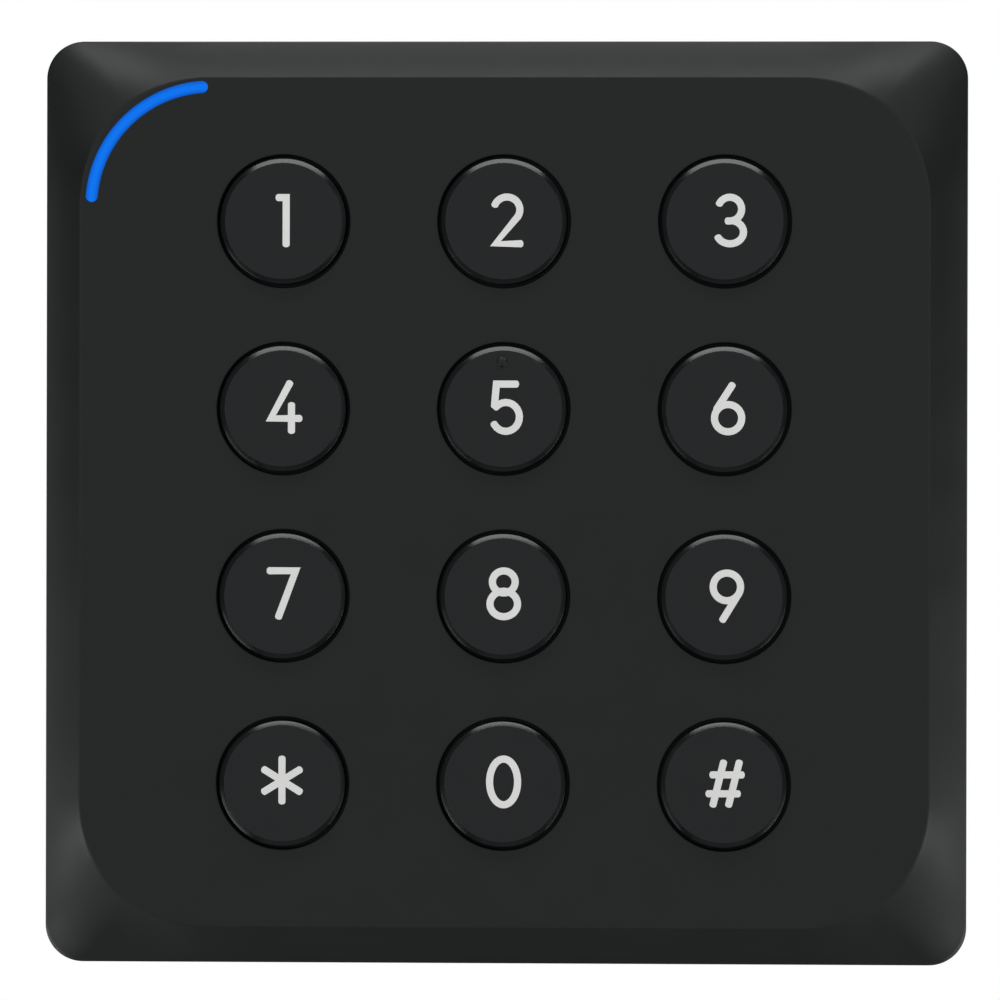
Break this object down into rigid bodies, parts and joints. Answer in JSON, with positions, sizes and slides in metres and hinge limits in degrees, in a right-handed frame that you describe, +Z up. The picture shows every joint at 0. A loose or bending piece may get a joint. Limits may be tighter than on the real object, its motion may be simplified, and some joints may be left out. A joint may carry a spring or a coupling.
{
  "type": "keypad access reader",
  "caption": "Square wall-mounted keypad and card reader with a raised sloped-edge panel, round keys in a grid and a curved status light in one corner, on a steel hook-on wall plate.",
  "frame": {"origin": "centre of the wall plate's back face, which lies on the wall", "axes": "+Z up the wall, +X to the right as the user sees it, +Y into the wall, so the keys face -Y"},
  "size_m": [0.086, 0.019, 0.086],
  "materials": {
    "housing_black": "fine spark texture, charcoal black",
    "rear_black": "plain moulded, black",
    "key_black": "fine satin, charcoal black",
    "status_blue": "clear guide lit blue",
    "silicone_grey": "translucent grey silicone",
    "carbon_rubber": "conductive carbon-filled silicone",
    "board_green": "glass-epoxy board with green solder mask",
    "copper": "enamelled copper winding",
    "chip_black": "moulded epoxy",
    "can_metal": "drawn can",
    "buzzer_black": "glossy moulded can",
    "socket_cream": "natural nylon",
    "led_lens": "clear epoxy lens",
    "gasket_rubber": "foamed rubber",
    "zinc_steel": "zinc plated",
    "black_steel": "blackened",
    "plate_steel": "galvanised pressed sheet"
  },
  "bodies": {
    "housing": {"front_cover": "housing_black", "rear_cover": "rear_black", "light_pipe": "status_blue", "keypad_mat": "silicone_grey", "main_board": "board_green", "antenna_coil": "copper", "controller_chip": "chip_black", "reader_chip": "chip_black", "voltage_regulator": "chip_black", "reader_crystal": "can_metal", "filter_capacitor": "can_metal", "buzzer": "buzzer_black", "wiring_header": "socket_cream", "status_led_1": "led_lens", "status_led_2": "led_lens", "status_led_3": "led_lens", "backlight_led_1": "led_lens", "backlight_led_2": "led_lens", "backlight_led_3": "led_lens", "backlight_led_4": "led_lens", "backlight_led_5": "led_lens", "backlight_led_6": "led_lens", "tamper_switch": "chip_black", "cover_gasket": "gasket_rubber", "cover_screw_1": "zinc_steel", "cover_screw_2": "zinc_steel", "cover_screw_3": "zinc_steel", "cover_screw_4": "zinc_steel", "board_screw_1": "zinc_steel", "board_screw_2": "zinc_steel", "lock_screw": "black_steel", "lock_nut": "zinc_steel", "wall_plate": "plate_steel"},
    "key_1": {"key_cap_1": "key_black", "contact_pill_1": "carbon_rubber"},
    "key_2": {"key_cap_2": "key_black", "contact_pill_2": "carbon_rubber"},
    "key_3": {"key_cap_3": "key_black", "contact_pill_3": "carbon_rubber"},
    "key_4": {"key_cap_4": "key_black", "contact_pill_4": "carbon_rubber"},
    "key_5": {"key_cap_5": "key_black", "contact_pill_5": "carbon_rubber"},
    "key_6": {"key_cap_6": "key_black", "contact_pill_6": "carbon_rubber"},
    "key_7": {"key_cap_7": "key_black", "contact_pill_7": "carbon_rubber"},
    "key_8": {"key_cap_8": "key_black", "contact_pill_8": "carbon_rubber"},
    "key_9": {"key_cap_9": "key_black", "contact_pill_9": "carbon_rubber"},
    "key_star": {"key_cap_star": "key_black", "contact_pill_star": "carbon_rubber"},
    "key_0": {"key_cap_0": "key_black", "contact_pill_0": "carbon_rubber"},
    "key_hash": {"key_cap_hash": "key_black", "contact_pill_hash": "carbon_rubber"},
    "tamper_plunger": {"tamper_plunger": "socket_cream"}
  },
  "joints": [
    {"name": "press_1", "type": "slide", "parent": "housing", "child": "key_1", "axis": [0, 1, 0], "range_m": [0, 0.001], "stiffness_N_per_m": 900, "deforming": ["keypad_mat"]},
    {"name": "press_2", "type": "slide", "parent": "housing", "child": "key_2", "axis": [0, 1, 0], "range_m": [0, 0.001], "stiffness_N_per_m": 900, "deforming": ["keypad_mat"]},
    {"name": "press_3", "type": "slide", "parent": "housing", "child": "key_3", "axis": [0, 1, 0], "range_m": [0, 0.001], "stiffness_N_per_m": 900, "deforming": ["keypad_mat"]},
    {"name": "press_4", "type": "slide", "parent": "housing", "child": "key_4", "axis": [0, 1, 0], "range_m": [0, 0.001], "stiffness_N_per_m": 900, "deforming": ["keypad_mat"]},
    {"name": "press_5", "type": "slide", "parent": "housing", "child": "key_5", "axis": [0, 1, 0], "range_m": [0, 0.001], "stiffness_N_per_m": 900, "deforming": ["keypad_mat"]},
    {"name": "press_6", "type": "slide", "parent": "housing", "child": "key_6", "axis": [0, 1, 0], "range_m": [0, 0.001], "stiffness_N_per_m": 900, "deforming": ["keypad_mat"]},
    {"name": "press_7", "type": "slide", "parent": "housing", "child": "key_7", "axis": [0, 1, 0], "range_m": [0, 0.001], "stiffness_N_per_m": 900, "deforming": ["keypad_mat"]},
    {"name": "press_8", "type": "slide", "parent": "housing", "child": "key_8", "axis": [0, 1, 0], "range_m": [0, 0.001], "stiffness_N_per_m": 900, "deforming": ["keypad_mat"]},
    {"name": "press_9", "type": "slide", "parent": "housing", "child": "key_9", "axis": [0, 1, 0], "range_m": [0, 0.001], "stiffness_N_per_m": 900, "deforming": ["keypad_mat"]},
    {"name": "press_star", "type": "slide", "parent": "housing", "child": "key_star", "axis": [0, 1, 0], "range_m": [0, 0.001], "stiffness_N_per_m": 900, "deforming": ["keypad_mat"]},
    {"name": "press_0", "type": "slide", "parent": "housing", "child": "key_0", "axis": [0, 1, 0], "range_m": [0, 0.001], "stiffness_N_per_m": 900, "deforming": ["keypad_mat"]},
    {"name": "press_hash", "type": "slide", "parent": "housing", "child": "key_hash", "axis": [0, 1, 0], "range_m": [0, 0.001], "stiffness_N_per_m": 900, "deforming": ["keypad_mat"]},
    {"name": "tamper_release", "type": "slide", "parent": "housing", "child": "tamper_plunger", "axis": [0, 1, 0], "range_m": [0, 0.0012], "stiffness_N_per_m": 150}
  ]
}
